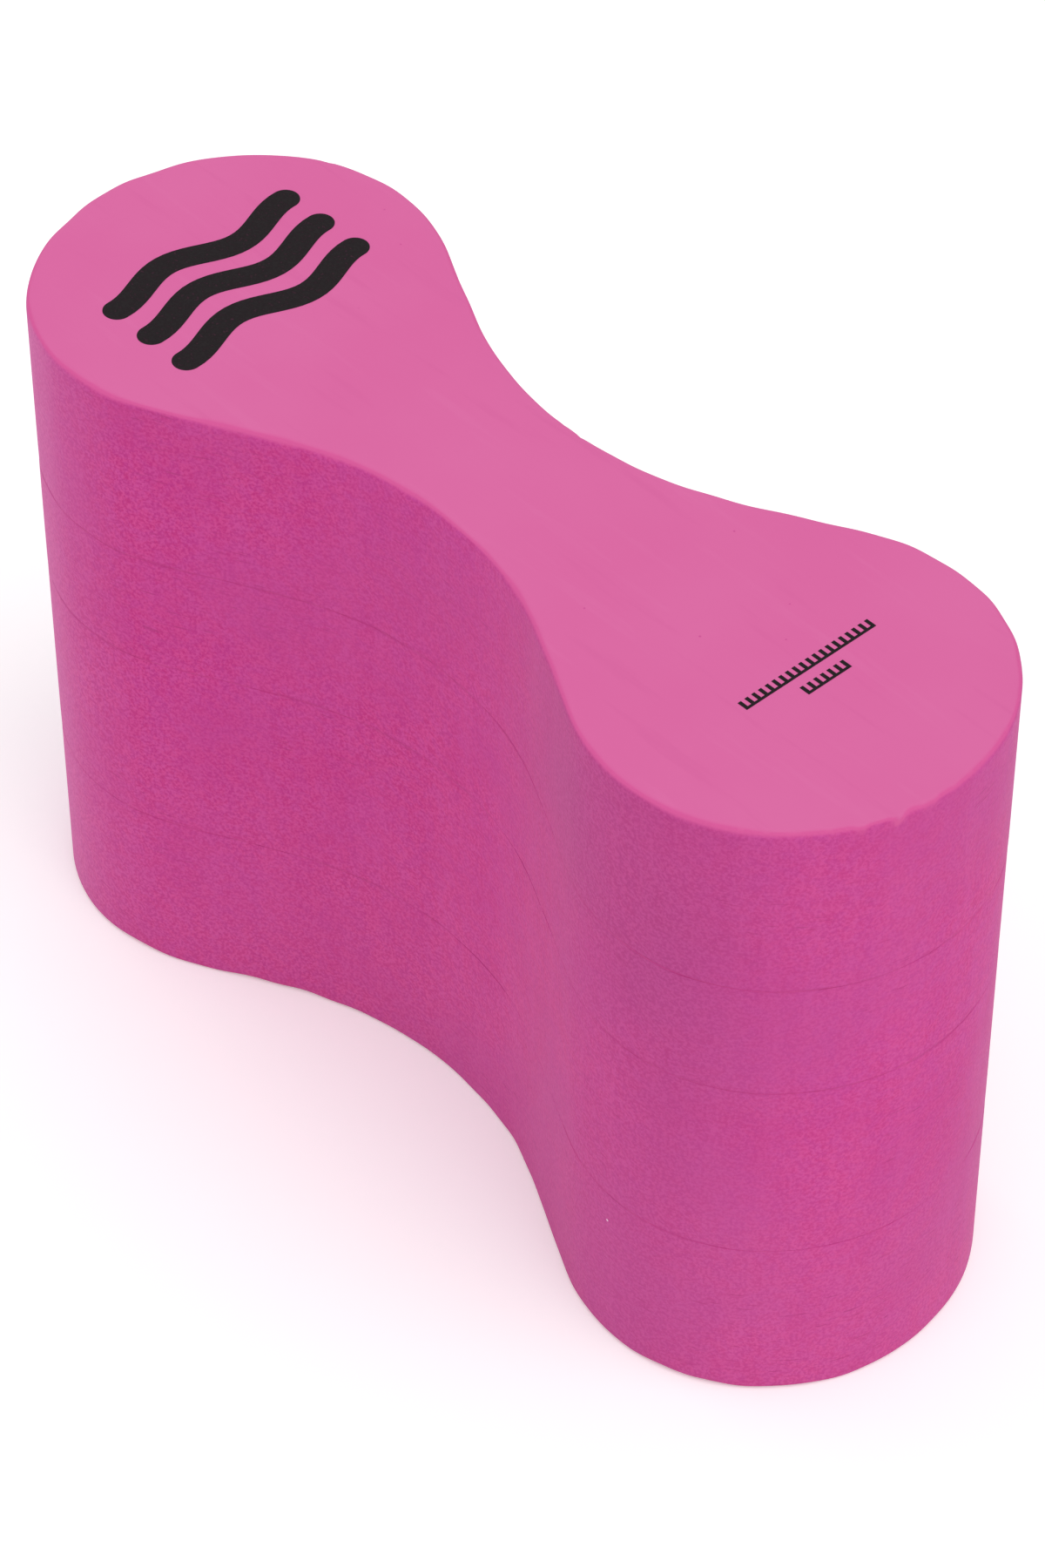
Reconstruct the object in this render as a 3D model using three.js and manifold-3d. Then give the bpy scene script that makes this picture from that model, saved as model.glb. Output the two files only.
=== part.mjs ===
// Pull buoy: the foam float that a swimmer holds between the thighs.
//
// Four boards of closed-cell foam are bonded into a block with adhesive films. The block is cut to a
// figure of eight, two lobes with a waist between them, and the rims of its base and top are rounded.
// Two marks are stamped into the top face: three waves on one lobe, and two rows of ticks on the other.
// Nothing on it moves.
//
// Millimetres, +Z up. X runs along the buoy from the lobe with the waves (-X) to the lobe with the
// ticks (+X), and Y runs across it. The origin is the centre of the base.

import * as THREE from "three";
import { mergeVertices } from "three/addons/utils/BufferGeometryUtils.js";
import Module from "manifold-3d";

// Outline, seen from above.
const LENGTH = 235; // over both lobes
const LOBE_WIDTH = 85; // across a lobe at its widest
const LOBE_END = 39.6; // from a lobe's widest line to its rounded end
const WAIST_WIDTH = 35; // across the narrowest point, where the thighs grip
const FLANK = 23.5; // straight run from a lobe's curve to the waist's curve
const ARC_STEP = THREE.MathUtils.degToRad(4); // largest turn between two points of a curve

// Lamination, from the base up.
const BOARD_THICKNESS = [41, 44, 27, 40];
const BOARD_NAMES = ["foam_board_base", "foam_board_lower", "foam_board_upper", "foam_board_top"];
const BOND_THICKNESS = 0.2; // adhesive film between two boards
const BOND_INSET = 0.4; // how far a film stops short of the cut sides
const RIM_ROUND = 1.5; // radius of the broken edge round the base and the top face
const RIM_STEPS = 3;

// Stamped marks, sunk flush into the top face.
const PRINT_DEPTH = 0.3;
const PRINT_CLEARANCE = 0.15; // between a mark and the wall of its pocket
const WAVE_COUNT = 3;
const WAVE_SPAN = 47; // end to end across the lobe, without the round ends
const WAVE_BAND = 6; // width of a wave's stroke
const WAVE_PITCH = 10.5; // from one wave to the next, along the buoy
const WAVE_SWING = 2.2; // how far a wave's middle line swings to each side
const WAVE_CYCLES = 1.5;
const WAVE_STEPS = 30;
const TICK_ROWS = [
  { name: "print_tick_row_long", ticks: 20, along: -0.8 },
  { name: "print_tick_row_short", ticks: 7, along: 3.9 },
];
const TICK_ROW_OFFSET = 3.5; // the rows' middle lies this far to one side of the lobe's middle
const TICK_PITCH = 1.7;
const TICK_WIDTH = 0.8;
const TICK_HEIGHT = 2.4;
const TICK_LINE = 0.6; // thickness of the line that joins a row's ticks

// Worked out from the values above.
const LOBE_CENTRE = LENGTH / 2 - LOBE_END;
const LOBE_RADIUS = LOBE_WIDTH / 2;
const HALF_WAIST = WAIST_WIDTH / 2;
// The waist's arc passes through the narrowest point, and a straight run of FLANK joins it to the lobe's.
const WAIST_RADIUS =
  (LOBE_CENTRE ** 2 + HALF_WAIST ** 2 - LOBE_RADIUS ** 2 - FLANK ** 2) /
  (2 * (LOBE_RADIUS - HALF_WAIST));
const WAIST_CENTRE = HALF_WAIST + WAIST_RADIUS;
// How far a lobe's arc runs past its widest line before the flank leaves it. Half of the waist's arc
// covers the same turn.
const FLANK_TURN =
  Math.atan2(LOBE_CENTRE, WAIST_CENTRE) -
  Math.acos(Math.min(1, (LOBE_RADIUS + WAIST_RADIUS) / Math.hypot(LOBE_CENTRE, WAIST_CENTRE)));
const BOARD_BASES = BOARD_THICKNESS.map((_, i) =>
  BOARD_THICKNESS.slice(0, i).reduce((height, board) => height + board + BOND_THICKNESS, 0),
);
const BOARD_TOPS = BOARD_BASES.map((base, i) => base + BOARD_THICKNESS[i]);
const HEIGHT = BOARD_TOPS.at(-1);
const PRINT_FLOOR = HEIGHT - PRINT_DEPTH;
const LEVELS = [...BOARD_BASES, ...BOARD_TOPS, PRINT_FLOOR];

const wasm = await Module();
wasm.setup();

// Points along an elliptical arc, in equal turns no larger than ARC_STEP. Angles run from +X towards +Y.
function arc(x, y, radiusX, radiusY, from, to) {
  const steps = Math.ceil(Math.abs(to - from) / ARC_STEP);
  return Array.from({ length: steps + 1 }, (_, i) => {
    const angle = from + ((to - from) * i) / steps;
    return new THREE.Vector2(x + radiusX * Math.cos(angle), y + radiusY * Math.sin(angle));
  });
}

// The buoy's outline, moved inwards by inset. Its +X, +Y quarter is built and then mirrored.
function outline(inset) {
  const radius = LOBE_RADIUS - inset;
  const up = Math.PI / 2;
  const quarter = [
    ...arc(LOBE_CENTRE, 0, LOBE_END - inset, radius, 0, up),
    ...arc(LOBE_CENTRE, 0, radius, radius, up, up + FLANK_TURN).slice(1),
    ...arc(0, WAIST_CENTRE, WAIST_RADIUS + inset, WAIST_RADIUS + inset, FLANK_TURN - up, -up),
  ];
  const mirrored = (points, x, y) => points.map((p) => new THREE.Vector2(p.x * x, p.y * y));
  const back = [...quarter].reverse();
  return new THREE.Shape([
    ...quarter,
    ...mirrored(back, -1, 1).slice(1),
    ...mirrored(quarter, -1, -1).slice(1),
    ...mirrored(back, 1, -1).slice(1, -1),
  ]);
}

// One wave: a stroke with round ends, along a sine line across the lobe, grown by margin all round.
function waveShape(x, margin) {
  const half = WAVE_BAND / 2 + margin;
  const turn = (2 * Math.PI * WAVE_CYCLES) / WAVE_SPAN;
  const line = Array.from({ length: WAVE_STEPS + 1 }, (_, i) => {
    const y = WAVE_SPAN * (i / WAVE_STEPS - 0.5);
    const heading = Math.atan2(1, WAVE_SWING * turn * Math.cos(turn * y));
    return { x: x + WAVE_SWING * Math.sin(turn * y), y, heading };
  });
  const side = (reach) =>
    line.map(
      ({ x: lineX, y, heading }) =>
        new THREE.Vector2(lineX + reach * Math.sin(heading), y - reach * Math.cos(heading)),
    );
  const cap = (p, start) => arc(p.x, p.y, half, half, start, start + Math.PI).slice(1, -1);
  const last = line.at(-1);
  return new THREE.Shape([
    ...side(half),
    ...cap(last, last.heading - Math.PI / 2),
    ...side(-half).reverse(),
    ...cap(line[0], line[0].heading + Math.PI / 2),
  ]);
}

// A row of ticks that stand on one line, grown by margin all round.
function tickRowShape(x, ticks, margin) {
  const foot = x + TICK_HEIGHT / 2 + margin;
  const shoulder = foot - TICK_LINE - 2 * margin;
  const tip = foot - TICK_HEIGHT - 2 * margin;
  const first = TICK_ROW_OFFSET - ((ticks - 1) * TICK_PITCH) / 2;
  const half = TICK_WIDTH / 2 + margin;
  const teeth = Array.from({ length: ticks }, (_, i) => first + i * TICK_PITCH).flatMap((y) => [
    new THREE.Vector2(shoulder, y - half),
    new THREE.Vector2(tip, y - half),
    new THREE.Vector2(tip, y + half),
    new THREE.Vector2(shoulder, y + half),
  ]);
  const line = [new THREE.Vector2(foot, teeth.at(-1).y), new THREE.Vector2(foot, teeth[0].y)];
  // The line's corners replace the outer shoulders, so the end ticks run straight down to the foot.
  return new THREE.Shape([...teeth.slice(1, -1), ...line]);
}

// A shape extruded upwards from one height to another.
function extruded(shape, base, top) {
  const geometry = new THREE.ExtrudeGeometry(shape, { depth: top - base, bevelEnabled: false });
  return geometry.translate(0, 0, base);
}

// The whole cut block, solid through its seams, with both rims rounded.
function blockGeometry() {
  const geometry = new THREE.ExtrudeGeometry(outline(0), {
    depth: HEIGHT - 2 * RIM_ROUND,
    bevelSize: RIM_ROUND,
    bevelThickness: RIM_ROUND,
    bevelOffset: -RIM_ROUND,
    bevelSegments: RIM_STEPS,
  });
  return geometry.translate(0, 0, RIM_ROUND);
}

// A manifold-3d solid from a closed three.js geometry.
function solidOf(geometry) {
  geometry.deleteAttribute("normal");
  geometry.deleteAttribute("uv");
  const merged = mergeVertices(geometry);
  return new wasm.Manifold(
    new wasm.Mesh({
      numProp: 3,
      vertProperties: merged.attributes.position.array,
      triVerts: new Uint32Array(merged.index.array),
    }),
  );
}

// A three.js geometry from a manifold-3d solid.
function geometryOf(solid) {
  const mesh = solid.getMesh();
  return new THREE.BufferGeometry()
    .setAttribute("position", new THREE.BufferAttribute(mesh.vertProperties, 3))
    .setIndex(new THREE.BufferAttribute(mesh.triVerts, 1));
}

// Puts every vertex that lies near one of the LEVELS exactly on it, so that bonded faces meet and
// never overlap.
function levelled(geometry) {
  const reach = BOND_THICKNESS / 10;
  const position = geometry.attributes.position;
  for (let i = 0; i < position.count; i += 1) {
    const level = LEVELS.find((z) => Math.abs(z - position.getZ(i)) < reach);
    if (level !== undefined) position.setZ(i, level);
  }
  return geometry;
}

function piece(name, geometry, material) {
  const mesh = new THREE.Mesh(levelled(geometry), material);
  mesh.geometry.computeVertexNormals();
  mesh.name = name;
  return mesh;
}

const foam = new THREE.MeshStandardMaterial({ color: 0xdb6ba6, roughness: 0.85, metalness: 0 });
const adhesive = new THREE.MeshStandardMaterial({ color: 0x8c3a6a, roughness: 0.6, metalness: 0 });
const ink = new THREE.MeshStandardMaterial({ color: 0x2b1c22, roughness: 0.6, metalness: 0 });

// Each mark, with the shape that it has when grown by a margin.
const marks = [
  ...Array.from({ length: WAVE_COUNT }, (_, i) => ({
    name: `print_wave_${i + 1}`,
    shape: (margin) => waveShape(-LOBE_CENTRE + (i - (WAVE_COUNT - 1) / 2) * WAVE_PITCH, margin),
  })),
  ...TICK_ROWS.map(({ name, ticks, along }) => ({
    name,
    shape: (margin) => tickRowShape(LOBE_CENTRE + along, ticks, margin),
  })),
];

// One board of the block, between two heights.
function boardSolid(block, base, top) {
  const slab = new THREE.BoxGeometry(2 * LENGTH, 2 * LOBE_WIDTH, top - base);
  return block.intersect(solidOf(slab.translate(0, 0, (base + top) / 2)));
}

// The top board, with a pocket for each mark.
function withPockets(board) {
  return marks.reduce((solid, { shape }) => {
    const pocket = extruded(shape(PRINT_CLEARANCE), PRINT_FLOOR, HEIGHT + PRINT_DEPTH);
    return solid.subtract(solidOf(pocket));
  }, board);
}

const buoy = new THREE.Group();
const block = solidOf(blockGeometry());
BOARD_NAMES.forEach((name, i) => {
  const board = boardSolid(block, BOARD_BASES[i], BOARD_TOPS[i]);
  const isTop = i === BOARD_NAMES.length - 1;
  buoy.add(piece(name, geometryOf(isTop ? withPockets(board) : board), foam));
});
BOARD_BASES.slice(1).forEach((above, i) => {
  const film = extruded(outline(BOND_INSET), BOARD_TOPS[i], above);
  buoy.add(piece(`bond_film_${i + 1}`, film, adhesive));
});
marks.forEach(({ name, shape }) => {
  buoy.add(piece(name, extruded(shape(0), PRINT_FLOOR, HEIGHT), ink));
});

export default buoy;
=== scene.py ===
"""Looks of the pull buoy: four bonded foam boards with stamped marks, on a pale floor.

Everything is in metres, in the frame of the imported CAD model: +X along the buoy towards the lobe with
the tick rows, +Y across it, +Z up from the base.
"""

import math

import bpy
import numpy as np
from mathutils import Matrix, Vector


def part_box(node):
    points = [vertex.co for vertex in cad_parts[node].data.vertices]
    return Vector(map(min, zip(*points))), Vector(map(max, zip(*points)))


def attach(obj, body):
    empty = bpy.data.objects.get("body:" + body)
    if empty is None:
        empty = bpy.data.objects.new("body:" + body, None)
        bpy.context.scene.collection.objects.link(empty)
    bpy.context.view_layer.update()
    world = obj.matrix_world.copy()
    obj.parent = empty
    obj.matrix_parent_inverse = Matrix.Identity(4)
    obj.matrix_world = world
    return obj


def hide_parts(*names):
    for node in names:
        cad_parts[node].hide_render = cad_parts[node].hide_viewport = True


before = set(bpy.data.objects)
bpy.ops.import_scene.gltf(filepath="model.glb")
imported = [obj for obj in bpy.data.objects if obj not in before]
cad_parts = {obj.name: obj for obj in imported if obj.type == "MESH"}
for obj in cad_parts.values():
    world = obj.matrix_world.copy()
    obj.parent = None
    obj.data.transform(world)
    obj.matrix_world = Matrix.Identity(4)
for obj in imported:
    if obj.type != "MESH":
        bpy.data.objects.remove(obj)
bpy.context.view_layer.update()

MM = 0.001
SEED = 7

# The camera: its bearing from the buoy, where it aims, how far off it stands, and its lens.
CAMERA_AZIMUTH = math.radians(47.27)
CAMERA_ELEVATION = math.radians(44.12)
CAMERA_AIM = Vector((2.4, 2.2, 70)) * MM
CAMERA_DISTANCE = 1045.5 * MM
CAMERA_LENS = 120.3

# Light. The suns and an even sky together give a level surface the colour that its material states.
# Each sun has its azimuth and elevation in degrees, and its strength.
SKY_STRENGTH = 0.69
SUNS = {"key": (90, 60, 0.92), "fill": (10, 35, 0.14), "back": (-80, 22, 0.34)}
SUN_SPREAD = math.radians(50)
FLOOR_SIZE = 12.0
FLOOR_COLOR = 0.94
FLOOR_LIFT = 0.20  # what the floor adds where it is seen, so that it shows white away from the shadow

# The CAD nodes: the boards and the films between them from the base up, and the marks.
BOARDS = ["foam_board_base", "foam_board_lower", "foam_board_upper", "foam_board_top"]
FILMS = ["bond_film_1", "bond_film_2", "bond_film_3"]
MARKS = [
    "print_wave_1",
    "print_wave_2",
    "print_wave_3",
    "print_tick_row_long",
    "print_tick_row_short",
]

# How finely the boards are made.
CORNER_DIGITS = 6  # corners of the CAD outline that agree to this many decimals are one corner
STATIONS = 260  # along each long side of the outline, from tip to tip
ROW_STEP = 1.1 * MM  # between two rows of a board's side
CAP_STEPS = 28  # across a cap that shows
HIDDEN_CAP_STEPS = 4  # across a cap between two boards

# The cut side and its edges.
OUTLINE_SOFTENING = 2.5 * MM  # how far the cut smooths over the outline's corners
RIM_RADIUS = 1.5 * MM
RIM_WANDER = 0.14  # of the rim's radius
RIM_MARGIN = 4.0 * MM  # from the cut to the ring where a face's flat middle starts
RIM_STEPS = 7
SEAM_RADIUS = 0.04 * MM  # the broken edge of each board at a seam
SEAM_ROWS = np.array([0, 0.015, 0.04, 0.16, 0.3, 0.6]) * MM  # of a board's edge, from the seam
SEAM_PINCH = 0.04 * MM  # how far the glue line draws the boards in
SEAM_PINCH_REACH = 2.0 * MM
SKIN_FROM = 0.5  # faces with a larger share of skin than this take the skin's material

# How far the cuts stray from the outline, and in how many waves round it, from the fewest to the most.
# The long blade's path also changes with the height, by CUT_LIFTS waves from the base to the top.
CUT_WANDER = 0.06 * MM
CUT_WAVES = range(5, 40)
CUT_LIFTS = (0, 0.3, -0.4)
CUT_LEVELS = 40  # at which the path is worked out
BOARD_WANDER = 0.025 * MM  # each board's own, on top of that path
BOARD_WAVES = range(6, 50)
RIM_WAVES = range(4, 60)

# Bond films and ink.
FILM_INSET = 0.02 * MM
FILM_INSET_WANDER = 0.015 * MM
FILM_WAVES = range(20, 110)
FILM_SLACK = 0.002 * MM  # keeps the film's faces off the boards'
INK_LIFT = 0.006 * MM  # the ink's underside over the foam
INK_THICKNESS = 0.05 * MM

# Small damage on the top rim. Places are shares of the outline's length, anticlockwise from the +X tip.
# Each nick has its place, and its width and depth in millimetres.
NICKS = [
    (0.246, 0.9, 0.40),
    (0.254, 0.6, 0.30),
    (0.984, 0.8, 0.30),
    (0.62, 0.7, 0.25),
    (0.42, 0.8, 0.25),
]
BURR_PLACE = 0.981
BURR_SPREAD = 0.014
BURR_WAVES = range(70, 150)
BURR_HEIGHT = 0.14 * MM
BURR_SKIN = 0.4  # how much of the pale skin the burr carries over the rim

# Colours, as linear RGB.
SKIN_COLOR = (0.690, 0.128, 0.350)
SKIN_PALE = (0.715, 0.158, 0.385)
SKIN_DEEP = (0.650, 0.112, 0.325)
RIM_COLOR = (0.690, 0.104, 0.325)
CUT_COLOR = (0.655, 0.068, 0.298)
CUT_DEEP = (0.560, 0.042, 0.255)
CUT_PALE = (0.720, 0.110, 0.365)
CUT_DARK = (0.470, 0.024, 0.190)
CUT_RED = (0.700, 0.046, 0.190)
CUT_PURPLE = (0.540, 0.070, 0.370)
CUT_WORN = (0.550, 0.090, 0.312)
# Painted light on the cut side: a pale, desaturated colour that stands in for sheen on the -X lobe's end
# and makes the side paler round the foot.
CUT_PAINTED_LIGHT = (0.650, 0.138, 0.390)
CUT_PAINTED_LIGHT_PALE = (0.715, 0.178, 0.445)
# Painted shade: a darker, duller colour laid over the +X lobe's sides.
CUT_PAINTED_SHADE = (0.448, 0.055, 0.232)
CUT_PAINTED_SHADE_PALE = (0.515, 0.075, 0.278)
SEAM_COLOR = (0.440, 0.042, 0.200)
FLECK_COLOR = (0.86, 0.55, 0.72)
FILM_COLOR = (0.590, 0.054, 0.262)
INK_COLOR = (0.0075, 0.0040, 0.0055)
INK_THIN = (0.060, 0.018, 0.036)
SHEEN_TINT = (0.97, 0.88, 0.96)

# Where the cut side's look changes, along X and then with the height, from and to.
RUBBED_TO_PLAIN = (-60 * MM, 50 * MM)
# Painted sheen: paler towards the -X lobe's end.
PAINTED_SHEEN_TO_PLAIN = (-110 * MM, -62 * MM)
# Painted shade on the +X lobe's sides, rising from the waist and fading out towards the tip.
PLAIN_TO_PAINTED_SHADE = (12 * MM, 75 * MM)
PAINTED_SHADE_TO_PLAIN = (82 * MM, 117.5 * MM)
# Painted light: paler from this height down to the foot.
PAINTED_FOOT_LIGHT_TO_PLAIN = (0 * MM, 90 * MM)
# The painted shade on the +X lobe is weaker low down and stronger higher up, over these heights.
PAINTED_SHADE_WEAK_TO_STRONG = (50 * MM, 140 * MM)

# Relief finer than the meshes, as the height of a bump.
CELL_RELIEF = 0.09 * MM
PIT_RELIEF = 0.05 * MM
SWELL_RELIEF = 0.12 * MM
PEEL_RELIEF = 0.02 * MM
DENT_RELIEF = 0.06 * MM
FILM_RELIEF = 0.05 * MM
INK_RELIEF = 0.015 * MM

draw = np.random.default_rng(SEED)


def placed(name, data):
    """A new object with that data, in the scene."""
    made = bpy.data.objects.new(name, data)
    bpy.context.scene.collection.objects.link(made)
    return made


# ---------------------------------------------------------------- shape


def half_outline(node):
    """The +Y half of a CAD node's outline, from the +X tip to the -X tip, in even steps."""
    corners = {
        (round(v.co.x, CORNER_DIGITS), round(v.co.y, CORNER_DIGITS))
        for v in node.data.vertices
        if v.co.y > -(10**-CORNER_DIGITS)
    }
    line = np.array(sorted(corners, key=lambda corner: math.atan2(corner[1], corner[0])))
    lengths = np.hypot(*np.diff(line, axis=0).T)
    travelled = np.concatenate([[0], np.cumsum(lengths)])
    even = np.linspace(0, travelled[-1], STATIONS + 1)
    points = np.column_stack([np.interp(even, travelled, line[:, axis]) for axis in (0, 1)])
    return softened(points, travelled[-1] / STATIONS)


def softened(points, step):
    """The half outline with its corners smoothed, mirrored over both tips so that they stay round."""
    reach = int(math.ceil(3 * OUTLINE_SOFTENING / step))
    mirror = np.array([1, -1])
    before = points[1 : reach + 1][::-1] * mirror
    after = points[-reach - 1 : -1][::-1] * mirror
    longer = np.concatenate([before, points, after])
    offsets = np.arange(-reach, reach + 1) * step
    weights = np.exp(-((offsets / OUTLINE_SOFTENING) ** 2) / 2)
    weights /= weights.sum()
    return np.column_stack([np.convolve(longer[:, axis], weights, "valid") for axis in (0, 1)])


def closed(half):
    """The whole outline, anticlockwise from the +X tip."""
    return np.concatenate([half, half[1:-1][::-1] * [1, -1]])


def outward(ring):
    """Unit normals of a closed anticlockwise outline."""
    along = np.roll(ring, -1, axis=0) - np.roll(ring, 1, axis=0)
    normals = np.column_stack([along[:, 1], -along[:, 0]])
    return normals / np.hypot(*normals.T)[:, None]


RING = closed(half_outline(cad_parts["foam_board_lower"]))
NORMALS = outward(RING)
COUNT = len(RING)
PLACES = np.arange(COUNT) / COUNT
PERIMETER = np.hypot(*(np.roll(RING, -1, axis=0) - RING).T).sum()
BASE_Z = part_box("foam_board_base")[0].z
TOP_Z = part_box("foam_board_top")[1].z


def wander(waves, places=PLACES, heights=0, lifts=(0,)):
    """Smooth noise of about unit size over the outline's places (0 to 1) and heights (0 to 1).

    It is a sum of cosines: waves are their counts round the outline, and lifts those over the height.
    """
    total = np.zeros(np.broadcast(places, heights).shape)
    power = 0
    for wave in waves:
        for lift in lifts:
            size = 1 / (1 + abs(lift)) / math.sqrt(wave)
            phase = draw.uniform(0, 2 * math.pi)
            total = total + size * np.cos(2 * math.pi * (wave * places + lift * heights) + phase)
            power += size**2 / 2
    return total / math.sqrt(power)


def apart(places, place):
    """How far places lie from place along the closed outline, as a share of its length."""
    return np.abs((places - place + 0.5) % 1 - 0.5)


# The long blade's path is drawn once, on a grid of heights, because all four boards share it.
CUT_HEIGHTS = np.linspace(0, 1, CUT_LEVELS)
CUT_PATH = CUT_WANDER * wander(CUT_WAVES, PLACES[:, None], CUT_HEIGHTS[None, :], CUT_LIFTS)
RIM_SIZE = RIM_RADIUS * (1 + RIM_WANDER * wander(RIM_WAVES))
# The burr stands out where this is over 0.
BURR = np.maximum(0, wander(BURR_WAVES))
BURR *= np.exp(-((apart(PLACES, BURR_PLACE) / BURR_SPREAD) ** 2))


def cut_offset(z):
    """How far the blade's cut lies outside the outline at each place, at height z."""
    share = (z - BASE_Z) / (TOP_Z - BASE_Z)
    return np.array([np.interp(share, CUT_HEIGHTS, path) for path in CUT_PATH])


def rim_damage(drop):
    """How far the nicks and the burr move the rim's rows, at a drop below the top face."""
    moved = np.zeros(COUNT)
    for place, width, depth in NICKS:
        across = apart(PLACES, place) * PERIMETER / (width * MM)
        moved -= depth * MM * np.exp(-(across**2)) * math.exp(-((drop / (width * MM)) ** 2))
    return moved + BURR_HEIGHT * BURR * math.exp(-((drop / RIM_RADIUS) ** 2))


def edge_height(is_rim):
    """How much of a board's side the rows of one of its edges take up."""
    return 2 * RIM_RADIUS if is_rim else SEAM_ROWS[-1] + ROW_STEP / 2


class Rows:
    """The rows of points that make a board's side, from its lower edge to its upper one."""

    def __init__(self, low, high, low_rim, high_rim):
        self.seams = [z for z, is_rim in ((low, low_rim), (high, high_rim)) if not is_rim]
        self.own = BOARD_WANDER * wander(BOARD_WAVES)
        self.points, self.skin, self.seam = [], [], []
        self.edge(low, 1, low_rim)
        first = low + edge_height(low_rim)
        last = high - edge_height(high_rim)
        for z in np.linspace(first, last, int((last - first) / ROW_STEP) + 1):
            self.row(np.full(COUNT, z))
        self.edge(high, -1, high_rim)

    def row(self, z, inset=0, skin=0, seam=0, damage=0):
        """Adds one row at heights z, inset from the cut face and moved outwards by its damage."""
        middle = float(np.mean(z))
        offset = cut_offset(middle) + self.own - inset + damage
        for seam_z in self.seams:
            offset = offset - SEAM_PINCH * math.exp(-abs(middle - seam_z) / SEAM_PINCH_REACH)
        flat = RING + NORMALS * offset[:, None]
        self.points.append(np.column_stack([flat, z]))
        self.skin.append(np.full(COUNT, skin, float))
        self.seam.append(np.full(COUNT, seam, float))

    def edge(self, z, inwards, is_rim):
        """Adds the rows of one edge. inwards is 1 at the lower edge and -1 at the upper one."""
        if is_rim:
            self.rim(z, inwards)
        else:
            self.broken_edge(z, inwards)

    def rim(self, z, inwards):
        """Adds a rounded rim, damaged at the top, and the ring where the flat middle starts."""
        is_top = inwards < 0
        turns = np.linspace(0, math.pi / 2, RIM_STEPS)
        if not is_top:
            turns = turns[::-1]
            self.row(np.full(COUNT, z), RIM_MARGIN, skin=1)
        for turn in turns:
            inset = RIM_SIZE * (1 - math.cos(turn))
            drop = RIM_SIZE * (1 - math.sin(turn))
            damage = rim_damage(float(drop.mean())) if is_top else 0
            torn = BURR_SKIN * BURR if is_top else 0
            skin = np.minimum(math.sin(turn) ** 2 + torn, 1)
            self.row(z + inwards * drop, inset, skin, damage=damage)
        if is_top:
            self.row(np.full(COUNT, z), RIM_MARGIN, skin=1)

    def broken_edge(self, z, inwards):
        """Adds the small broken edge at a seam."""
        is_upper = inwards < 0
        for step in SEAM_ROWS[::-1] if is_upper else SEAM_ROWS:
            left = max(0.0, SEAM_RADIUS - step)
            inset = SEAM_RADIUS - math.sqrt(SEAM_RADIUS**2 - left**2)
            near = max(0.0, 1 - step / SEAM_ROWS[-1])
            self.row(np.full(COUNT, z + inwards * step), inset, seam=near)


def cap_points(rim, steps):
    """Points across the closed row rim, rung by rung between its +Y and -Y halves, tips left out."""
    half = COUNT // 2
    shares = np.linspace(0, 1, steps + 1)[1:-1]
    upper = rim[1:half]
    lower = rim[-1:half:-1]
    return upper[:, None, :] * (1 - shares[:, None]) + lower[:, None, :] * shares[:, None]


def cap_faces(ring_start, inner_start, steps, facing_up):
    """Faces of a cap whose rim starts at ring_start and whose inner points start at inner_start."""
    half = COUNT // 2
    inner = steps - 1

    def rung(station):
        if station in (0, half):
            return [ring_start + station] * (steps + 1)
        start = inner_start + (station - 1) * inner
        between = list(range(start, start + inner))
        return [ring_start + station, *between, ring_start + COUNT - station]

    faces = []
    for station in range(half):
        here, there = rung(station), rung(station + 1)
        for k in range(steps):
            corners = (here[k], there[k], there[k + 1], here[k + 1])
            corners = tuple(dict.fromkeys(corners))
            faces.append(corners if facing_up else corners[::-1])
    return faces


def side_faces(row_count):
    """Quads between neighbouring rows of the closed outline."""
    faces = []
    for row in range(row_count - 1):
        low, high = row * COUNT, (row + 1) * COUNT
        for i in range(COUNT):
            j = (i + 1) % COUNT
            faces.append((low + i, low + j, high + j, high + i))
    return faces


def closed_mesh(name, rows, low_steps, high_steps):
    """A closed mesh from rows of points. Returns its object and how many points each cap adds."""
    low_cap = cap_points(rows[0], low_steps).reshape(-1, 3)
    high_cap = cap_points(rows[-1], high_steps).reshape(-1, 3)
    sides = np.concatenate(rows)
    points = np.concatenate([sides, low_cap, high_cap])
    low_start, high_start = 0, (len(rows) - 1) * COUNT
    low_inner, high_inner = len(sides), len(sides) + len(low_cap)
    low_faces = cap_faces(low_start, low_inner, low_steps, facing_up=False)
    high_faces = cap_faces(high_start, high_inner, high_steps, facing_up=True)
    faces = side_faces(len(rows)) + low_faces + high_faces
    mesh = bpy.data.meshes.new(name)
    mesh.from_pydata(points.tolist(), [], faces)
    mesh.validate()
    mesh.shade_smooth()
    return placed(name, mesh), len(low_cap), len(high_cap)


def point_values(piece, name, values):
    """Stores one number for each point of the mesh, for its material to read."""
    attribute = piece.data.attributes.new(name, "FLOAT", "POINT")
    attribute.data.foreach_set("value", values)


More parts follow.
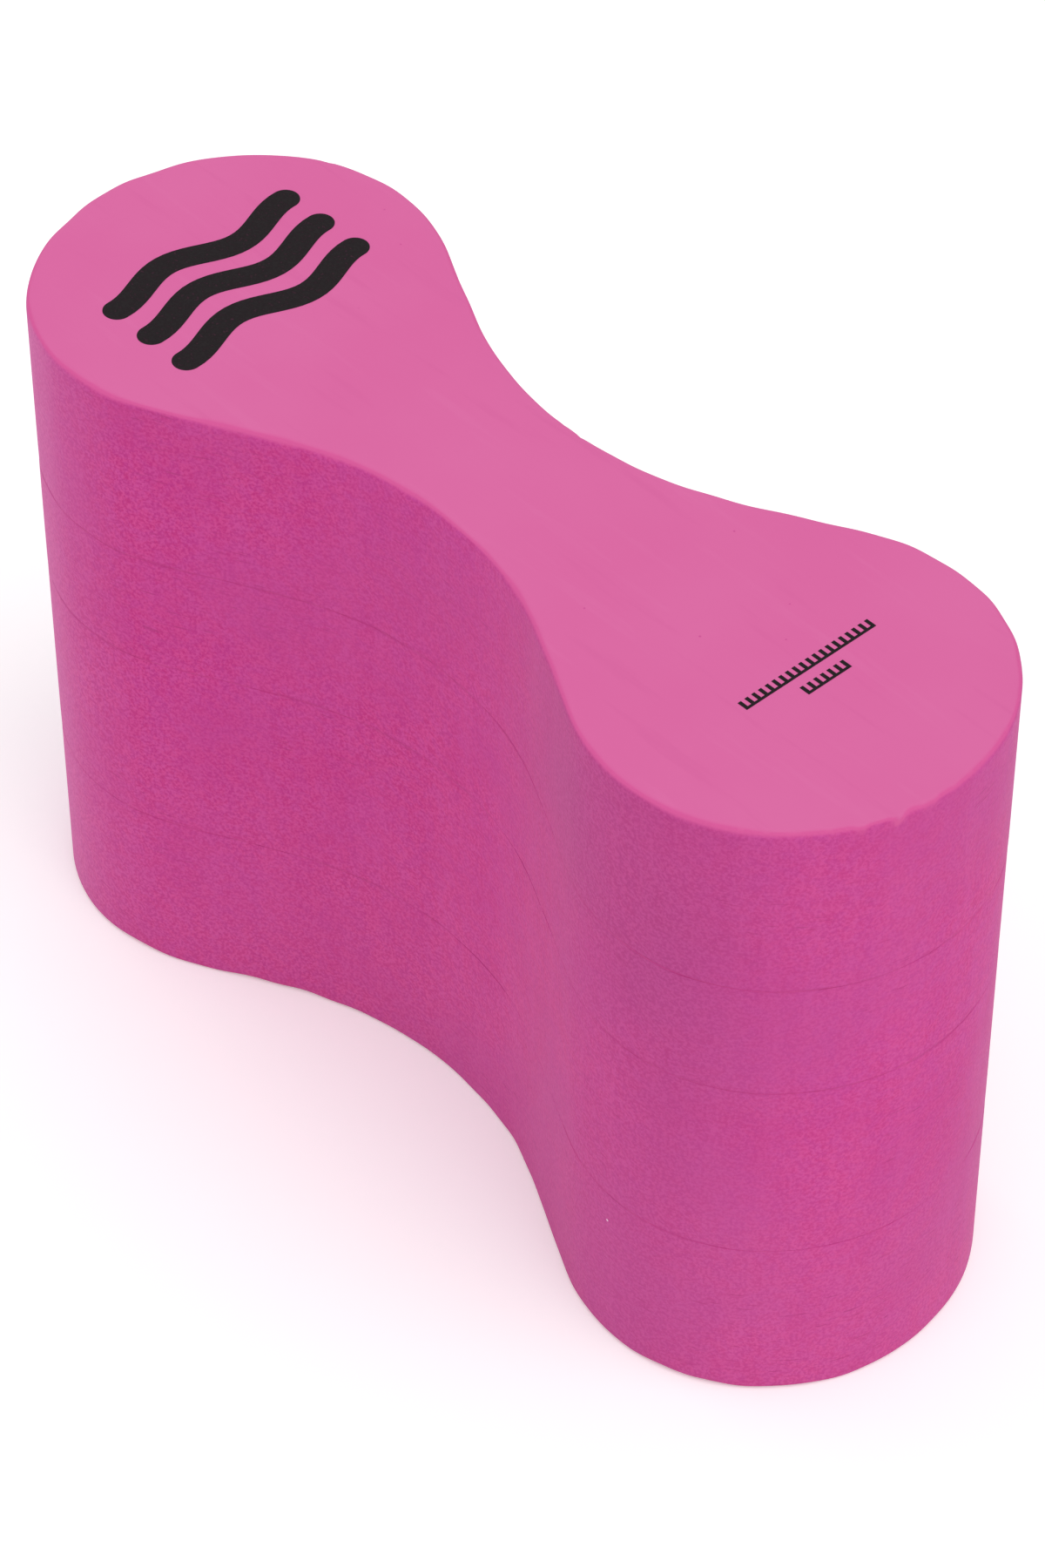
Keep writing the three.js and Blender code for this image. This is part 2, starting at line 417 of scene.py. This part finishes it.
def make_board(node_name):
    """One foam board with its cut side, its caps and its edges."""
    low, high = (corner.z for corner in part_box(node_name))
    low_rim, high_rim = node_name == BOARDS[0], node_name == BOARDS[-1]
    rows = Rows(low, high, low_rim, high_rim)
    low_steps = CAP_STEPS if low_rim else HIDDEN_CAP_STEPS
    high_steps = CAP_STEPS if high_rim else HIDDEN_CAP_STEPS
    piece, low_count, high_count = closed_mesh(node_name + "_foam", rows.points, low_steps, high_steps)
    cap_skin = [np.full(low_count, float(low_rim)), np.full(high_count, float(high_rim))]
    skin = np.concatenate([*rows.skin, *cap_skin]).astype(np.float32)
    seam = np.concatenate([*rows.seam, np.zeros(low_count + high_count)]).astype(np.float32)
    point_values(piece, "skin", skin)
    point_values(piece, "seam", seam)
    piece.data.materials.append(CUT)
    piece.data.materials.append(SKIN)
    for face in piece.data.polygons:
        face.material_index = int(min(skin[v] for v in face.vertices) > SKIN_FROM)
    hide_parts(node_name)
    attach(piece, "root")


def make_film(node_name):
    """One bond film, a hair inside the cut and uneven where the adhesive crept."""
    low, high = (corner.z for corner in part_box(node_name))
    inset = FILM_INSET + FILM_INSET_WANDER * wander(FILM_WAVES)
    offset = cut_offset((low + high) / 2) - SEAM_PINCH - np.maximum(inset, 0)
    flat = RING + NORMALS * offset[:, None]
    heights = (low + FILM_SLACK, high - FILM_SLACK)
    rows = [np.column_stack([flat, np.full(COUNT, z)]) for z in heights]
    piece, _, _ = closed_mesh(node_name + "_line", rows, HIDDEN_CAP_STEPS, HIDDEN_CAP_STEPS)
    piece.data.materials.append(FILM)
    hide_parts(node_name)
    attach(piece, "root")


def make_mark(node_name):
    """One stamped mark: the CAD inlay's outline as a thin film of ink on the top face."""
    name = node_name + "_ink"
    middle = sum(corner.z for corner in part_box(node_name)) / 2
    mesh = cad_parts[node_name].data.copy()
    mesh.name = name
    mesh.materials.clear()
    for vertex in mesh.vertices:
        lift = INK_LIFT + (INK_THICKNESS if vertex.co.z > middle else 0)
        vertex.co.z = TOP_Z + lift
    mesh.shade_flat()
    piece = placed(name, mesh)
    piece.data.materials.append(INK)
    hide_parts(node_name)
    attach(piece, "root")


# ---------------------------------------------------------------- materials


class Graph:
    """A material's node tree, with one short call for each kind of node that the looks need.

    The scale of a pattern is in waves or cells to the metre.
    """

    # The colour sockets of a mix node, whose other sockets have the same names.
    MIX_AMOUNT, MIX_A, MIX_B, MIX_RESULT = 0, 6, 7, 2

    def __init__(self, name):
        self.material = bpy.data.materials.new(name)
        self.material.use_nodes = True
        self.tree = self.material.node_tree
        self.shader = self.tree.nodes["Principled BSDF"]
        self.where = self.node("ShaderNodeTexCoord").outputs["Object"]

    def node(self, kind, inputs=None, **settings):
        """A new node with these settings, and its inputs linked or set."""
        made = self.tree.nodes.new(kind)
        for key, value in settings.items():
            setattr(made, key, value)
        for key, value in (inputs or {}).items():
            self.feed(made.inputs[key], value)
        return made

    def feed(self, socket, value):
        """Links a socket, or sets its value, whichever value is."""
        if isinstance(value, bpy.types.NodeSocket):
            self.tree.links.new(value, socket)
        elif isinstance(value, (tuple, list)) and len(socket.default_value) == 4 and len(value) == 3:
            socket.default_value = (*value, 1)
        else:
            socket.default_value = value

    def times(self, a, b):
        return self.node("ShaderNodeMath", {0: a, 1: b}, operation="MULTIPLY").outputs[0]

    def plus(self, a, b):
        return self.node("ShaderNodeMath", {0: a, 1: b}, operation="ADD").outputs[0]

    def axes(self):
        """The object's X, Y and Z coordinates."""
        return self.node("ShaderNodeSeparateXYZ", {"Vector": self.where}).outputs

    def stretched(self, scale):
        """The object's coordinates, scaled by a different amount along each axis."""
        return self.node("ShaderNodeMapping", {"Vector": self.where, "Scale": scale}).outputs[0]

    def noise(self, scale, detail, roughness=0.5, where=None):
        """Soft noise from 0 to 1."""
        inputs = {"Vector": where or self.where, "Scale": scale, "Detail": detail, "Roughness": roughness}
        return self.node("ShaderNodeTexNoise", inputs).outputs["Fac"]

    def cells(self, scale):
        """Distance from the nearest cell centre."""
        made = self.node("ShaderNodeTexVoronoi", {"Vector": self.where, "Scale": scale})
        return made.outputs["Distance"]

    def between(self, value, low, high, to_low=0.0, to_high=1.0):
        """value moved smoothly from the range low to high onto the range to_low to to_high."""
        inputs = {"Value": value, "From Min": low, "From Max": high, "To Min": to_low, "To Max": to_high}
        return self.node("ShaderNodeMapRange", inputs, interpolation_type="SMOOTHSTEP").outputs["Result"]

    def blend(self, amount, a, b):
        """Colour a with that amount of colour b over it."""
        inputs = {self.MIX_AMOUNT: amount, self.MIX_A: a, self.MIX_B: b}
        return self.node("ShaderNodeMix", inputs, data_type="RGBA").outputs[self.MIX_RESULT]

    def point_value(self, name):
        """A number that point_values stored in the mesh."""
        return self.node("ShaderNodeAttribute", attribute_name=name).outputs["Fac"]

    def bump(self, height, distance, strength=1.0, normal=None):
        """The normal with a bump of that height, on top of another bump's normal if there is one."""
        inputs = {"Height": height, "Distance": distance, "Strength": strength}
        if normal is not None:
            inputs["Normal"] = normal
        return self.node("ShaderNodeBump", inputs).outputs[0]

    def finish(self, color, roughness, normal, **constants):
        """Feeds the shader. A constant's name is its socket's, with _ for each space."""
        self.feed(self.shader.inputs["Base Color"], color)
        self.feed(self.shader.inputs["Roughness"], roughness)
        self.feed(self.shader.inputs["Normal"], normal)
        for name, value in constants.items():
            self.feed(self.shader.inputs[name.replace("_", " ")], value)
        return self.material


def grainy_color(graph, along, grain):
    """Freshly cut foam: fine grain, stronger on the rubbed lobe, with a slow drift of hue."""
    cell = graph.cells(1700)
    hue = graph.noise(330, 3, 0.7)
    hue_patch = graph.noise(34, 2)
    color = graph.blend(graph.between(grain, 0.36, 0.64), CUT_DARK, CUT_PALE)
    color = graph.blend(graph.between(cell, 0.15, 0.75, 0.30, 0.0), color, CUT_COLOR)
    color = graph.blend(graph.between(along, *RUBBED_TO_PLAIN, 0.85, 0.45), CUT_COLOR, color)
    tint = graph.blend(graph.between(hue, 0.40, 0.60), CUT_RED, CUT_PURPLE)
    color = graph.blend(graph.between(along, *RUBBED_TO_PLAIN, 0.22, 0.14), color, tint)
    return graph.blend(graph.between(hue_patch, 0.42, 0.66, 0.0, 0.20), color, CUT_PURPLE)


def with_wear(graph, color, along, wear):
    """The colour with soft mottling, marks brushed upwards, worn patches and a deeper tone towards the -X
    lobe.
    """
    mottle = graph.noise(55, 3, 0.55)
    brushed = graph.noise(1, 3, 0.55, graph.stretched((210, 210, 16)))
    color = graph.blend(graph.between(mottle, 0.35, 0.7, 0.0, 0.30), color, CUT_DEEP)
    color = graph.blend(graph.between(brushed, 0.40, 0.70, 0.0, 0.15), color, CUT_PALE)
    color = graph.blend(graph.between(wear, 0.42, 0.72, 0.0, 0.35), color, CUT_WORN)
    # Darker towards the -X lobe.
    return graph.blend(graph.between(along, *RUBBED_TO_PLAIN, 0.30, 0.0), color, CUT_DEEP)


def with_painted_light(graph, color, along, height, grain):
    """The colour with painted light that makes the side paler round the foot, and painted sheen on the -X
    lobe's end.
    """
    painted_light = graph.blend(graph.between(grain, 0.40, 0.60), CUT_PAINTED_LIGHT, CUT_PAINTED_LIGHT_PALE)
    # Painted light: paler towards the foot.
    color = graph.blend(graph.between(height, *PAINTED_FOOT_LIGHT_TO_PLAIN, 0.17, 0.0), color, painted_light)
    # Painted sheen: paler towards the -X lobe's end.
    return graph.blend(graph.between(along, *PAINTED_SHEEN_TO_PLAIN, 0.75, 0.0), color, painted_light)


def with_painted_shade(graph, color, along, height, grain, wear):
    """The colour with painted shade over the +X lobe's sides: patchy, fading out towards the waist and
    the tip, and stronger higher up.
    """
    dull = graph.blend(graph.between(grain, 0.36, 0.64), CUT_PAINTED_SHADE, CUT_PAINTED_SHADE_PALE)
    starts = graph.between(along, *PLAIN_TO_PAINTED_SHADE)
    ends = graph.between(along, *PAINTED_SHADE_TO_PLAIN, 1.0, 0.0)
    amount = graph.times(starts, ends)
    amount = graph.times(amount, graph.between(wear, 0.25, 0.60, 0.40, 0.70))
    amount = graph.times(amount, graph.between(height, *PAINTED_SHADE_WEAK_TO_STRONG, 0.55, 1.35))
    # Painted shade: the +X lobe's sides darkened and dulled.
    return graph.blend(amount, color, dull)


def with_marks(graph, color):
    """The colour with short level drag marks, pale flecks of dust and the glue line's stain."""
    drag = graph.noise(1, 2, 0.5, graph.stretched((170, 170, 2200)))
    drag_area = graph.noise(26, 1)
    drag = graph.times(graph.between(drag, 0.62, 0.72), graph.between(drag_area, 0.50, 0.60))
    color = graph.blend(graph.times(drag, 0.6), color, SEAM_COLOR)
    fleck = graph.between(graph.cells(42), 0.010, 0.016, 1.0, 0.0)
    fleck = graph.times(fleck, graph.between(graph.noise(15, 1), 0.56, 0.60))
    color = graph.blend(fleck, color, FLECK_COLOR)
    patchy = graph.between(graph.noise(90, 2, 0.6), 0.42, 0.68, 0.0, 0.34)
    return graph.blend(graph.times(graph.point_value("seam"), patchy), color, SEAM_COLOR)


def cut_color(graph):
    """The cut side: cellular, saturated and worn, with painted sheen on the -X lobe's end, painted light
    round the foot and painted shade over the +X lobe's sides.
    """
    axes = graph.axes()
    along, height = axes["X"], axes["Z"]
    grain = graph.noise(1500, 2, 0.6)
    wear = graph.noise(18, 2)
    color = grainy_color(graph, along, grain)
    color = with_wear(graph, color, along, wear)
    # Painted light round the foot and painted sheen on the -X lobe's end.
    color = with_painted_light(graph, color, along, height, grain)
    # Painted shade over the +X lobe's sides.
    color = with_painted_shade(graph, color, along, height, grain, wear)
    return with_marks(graph, color)


def skin_color(graph):
    """The skin: pale and almost even, with faint clouds, long faint streaks and tiny specks."""
    clouds = graph.noise(24, 3)
    streaks = graph.noise(1, 3, 0.6, graph.stretched((22, 240, 22)))
    speck = graph.between(graph.cells(150), 0.030, 0.048, 1.0, 0.0)
    speck = graph.times(speck, graph.between(graph.noise(60, 1), 0.48, 0.54, 0.0, 0.65))
    color = graph.blend(graph.between(clouds, 0.35, 0.7, 0.0, 0.35), SKIN_COLOR, SKIN_PALE)
    color = graph.blend(graph.between(streaks, 0.58, 0.72, 0.0, 0.30), color, SKIN_PALE)
    color = graph.blend(graph.between(streaks, 0.28, 0.42, 0.40, 0.0), color, SKIN_DEEP)
    return graph.blend(speck, color, CUT_DEEP)


def foam_color(graph):
    """The cut side's colour, the skin's, and between them the rim's, which is the most saturated."""
    share = graph.point_value("skin")
    rim = graph.blend(graph.between(share, 0.0, 0.45), cut_color(graph), RIM_COLOR)
    return graph.blend(graph.between(share, 0.55, 1.0), rim, skin_color(graph))


def make_cut():
    """The cut side: open fine cells, sueded, with a soft sheen at grazing angles."""
    graph = Graph("foam_cut")
    cell = graph.cells(1500)
    grain = graph.noise(1300, 3, 0.65)
    pits = graph.between(graph.cells(420), 0.10, 0.22)
    normal = graph.bump(graph.plus(graph.times(cell, 0.6), graph.times(grain, 0.6)), CELL_RELIEF)
    normal = graph.bump(pits, PIT_RELIEF, 0.6, normal)
    normal = graph.bump(graph.noise(140, 2), SWELL_RELIEF, 0.8, normal)
    roughness = graph.between(grain, 0.3, 0.7, 0.75, 0.95)
    sheen = {"Sheen_Weight": 0.13, "Sheen_Roughness": 0.36, "Sheen_Tint": SHEEN_TINT}
    return graph.finish(foam_color(graph), roughness, normal, Specular_IOR_Level=0.12, **sheen)


def make_skin():
    """The moulded skin: smooth, matt, with a fine orange peel."""
    graph = Graph("foam_skin")
    normal = graph.bump(graph.noise(900, 2), PEEL_RELIEF, 0.7)
    normal = graph.bump(graph.noise(70, 2), DENT_RELIEF, 0.6, normal)
    roughness = graph.between(graph.noise(40, 2), 0.3, 0.7, 0.58, 0.70)
    return graph.finish(foam_color(graph), roughness, normal, Specular_IOR_Level=0.20)


def make_film_material():
    """The adhesive line: dark pink, dull, uneven."""
    graph = Graph("adhesive_line")
    creep = graph.noise(300, 3, 0.6)
    color = graph.blend(graph.between(creep, 0.35, 0.65), FILM_COLOR, CUT_DEEP)
    roughness = graph.between(creep, 0.3, 0.7, 0.6, 0.85)
    return graph.finish(color, roughness, graph.bump(creep, FILM_RELIEF), Specular_IOR_Level=0.3)


def make_ink():
    """Stamped ink: near black, with thin spots where the foam's colour comes through."""
    graph = Graph("stamped_ink")
    thin = graph.noise(1400, 3, 0.6)
    color = graph.blend(graph.between(thin, 0.55, 0.8, 0.0, 0.8), INK_COLOR, INK_THIN)
    roughness = graph.between(thin, 0.3, 0.7, 0.5, 0.7)
    return graph.finish(color, roughness, graph.bump(thin, INK_RELIEF), Specular_IOR_Level=0.12)


# ---------------------------------------------------------------- stage


def seen_directly(tree):
    """1 for the rays that show the background: the camera's, and those seen in gloss or glass."""
    path = tree.nodes.new("ShaderNodeLightPath")
    total = path.outputs["Is Camera Ray"]
    for name in ("Is Glossy Ray", "Is Transmission Ray"):
        larger = tree.nodes.new("ShaderNodeMath")
        larger.operation = "MAXIMUM"
        tree.links.new(total, larger.inputs[0])
        tree.links.new(path.outputs[name], larger.inputs[1])
        total = larger.outputs[0]
    return total


def make_floor():
    """A pale floor that shows white and keeps the buoy's shadow."""
    half = FLOOR_SIZE / 2
    corners = [(-half, -half, 0), (half, -half, 0), (half, half, 0), (-half, half, 0)]
    mesh = bpy.data.meshes.new("floor")
    mesh.from_pydata(corners, [], [(0, 1, 2, 3)])
    floor = placed("floor", mesh)
    floor.location.z = BASE_Z
    material = bpy.data.materials.new("floor")
    material.use_nodes = True
    tree = material.node_tree
    shader = tree.nodes["Principled BSDF"]
    shader.inputs["Base Color"].default_value = (FLOOR_COLOR, FLOOR_COLOR, FLOOR_COLOR, 1)
    shader.inputs["Roughness"].default_value = 1.0
    shader.inputs["Specular IOR Level"].default_value = 0.0
    shader.inputs["Emission Color"].default_value = (1, 1, 1, 1)
    lift = tree.nodes.new("ShaderNodeMath")
    lift.operation = "MULTIPLY"
    lift.inputs[1].default_value = FLOOR_LIFT
    tree.links.new(seen_directly(tree), lift.inputs[0])
    tree.links.new(lift.outputs[0], shader.inputs["Emission Strength"])
    mesh.materials.append(material)


def make_sky():
    """Even light from all round, which shows white where it is seen."""
    world = bpy.data.worlds.new("sky")
    world.use_nodes = True
    bpy.context.scene.world = world
    tree = world.node_tree
    background = tree.nodes["Background"]
    background.inputs["Color"].default_value = (1, 1, 1, 1)
    strength = tree.nodes.new("ShaderNodeMapRange")
    strength.inputs["To Min"].default_value = SKY_STRENGTH
    strength.inputs["To Max"].default_value = 1.0
    tree.links.new(seen_directly(tree), strength.inputs["Value"])
    tree.links.new(strength.outputs["Result"], background.inputs["Strength"])


def direction(azimuth, elevation):
    """The unit vector from the buoy towards a place at that azimuth and elevation."""
    level = math.cos(elevation)
    return Vector((math.sin(azimuth) * level, -math.cos(azimuth) * level, math.sin(elevation)))


def aim(thing, towards):
    """Turns a sun or a camera that stands in that direction so that it points at the buoy."""
    thing.rotation_mode = "QUATERNION"
    thing.rotation_quaternion = towards.to_track_quat("Z", "Y")


def make_sun(name, azimuth, elevation, strength):
    """A broad sun at that azimuth and elevation, in degrees."""
    light = bpy.data.lights.new(name, "SUN")
    light.energy = strength
    light.angle = SUN_SPREAD
    aim(placed(name, light), direction(math.radians(azimuth), math.radians(elevation)))


def make_camera():
    """The camera that the scene is seen through."""
    data = bpy.data.cameras.new("camera")
    data.lens = CAMERA_LENS
    camera = placed("camera", data)
    towards = direction(CAMERA_AZIMUTH, CAMERA_ELEVATION)
    camera.location = CAMERA_AIM + towards * CAMERA_DISTANCE
    aim(camera, towards)
    bpy.context.scene.camera = camera


CUT = make_cut()
SKIN = make_skin()
FILM = make_film_material()
INK = make_ink()

for name in BOARDS:
    make_board(name)
for name in FILMS:
    make_film(name)
for name in MARKS:
    make_mark(name)

make_floor()
make_sky()
for name, settings in SUNS.items():
    make_sun(name, *settings)
make_camera()
bpy.context.scene.view_settings.view_transform = "Standard"
